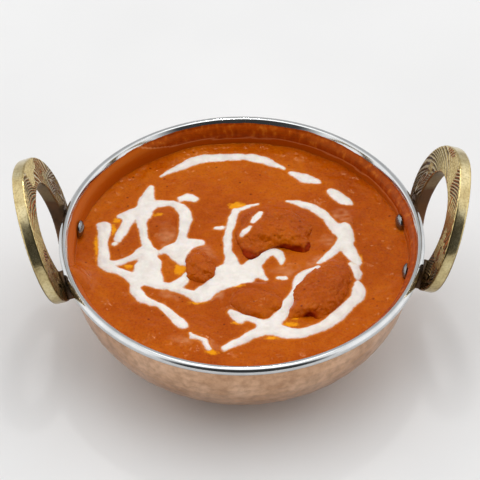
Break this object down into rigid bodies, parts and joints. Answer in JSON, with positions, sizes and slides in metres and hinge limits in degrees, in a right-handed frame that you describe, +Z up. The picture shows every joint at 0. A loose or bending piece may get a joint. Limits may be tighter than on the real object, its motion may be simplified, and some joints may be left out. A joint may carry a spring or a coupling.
{
  "type": "butter chicken curry in a kadai",
  "caption": "Chicken pieces in a smooth orange curry with a cream drizzle, served in a hammered copper dish with a steel liner and brass loop handles.",
  "frame": {"origin": "centre of the dish's flat base, where it rests", "axes": "+Z up along the dish's axis, +X towards the right handle, -Y towards the viewer"},
  "size_m": [0.1834, 0.1498, 0.0875],
  "materials": {
    "copper": "hammered copper, softly polished",
    "steel": "polished stainless steel",
    "brass": "cast brass, engraved faces, polished edges",
    "sauce": "glossy smooth tomato and cream sauce with cream drizzle",
    "chicken": "grilled chicken coated in sauce"
  },
  "bodies": {
    "root": {"copper_shell": "copper", "steel_liner": "steel", "handle_right": "brass", "handle_left": "brass", "rivet_right_near": "steel", "rivet_right_far": "steel", "rivet_left_near": "steel", "rivet_left_far": "steel", "curry": "sauce", "chicken_1": "chicken", "chicken_2": "chicken", "chicken_3": "chicken", "chicken_4": "chicken"}
  },
  "joints": []
}
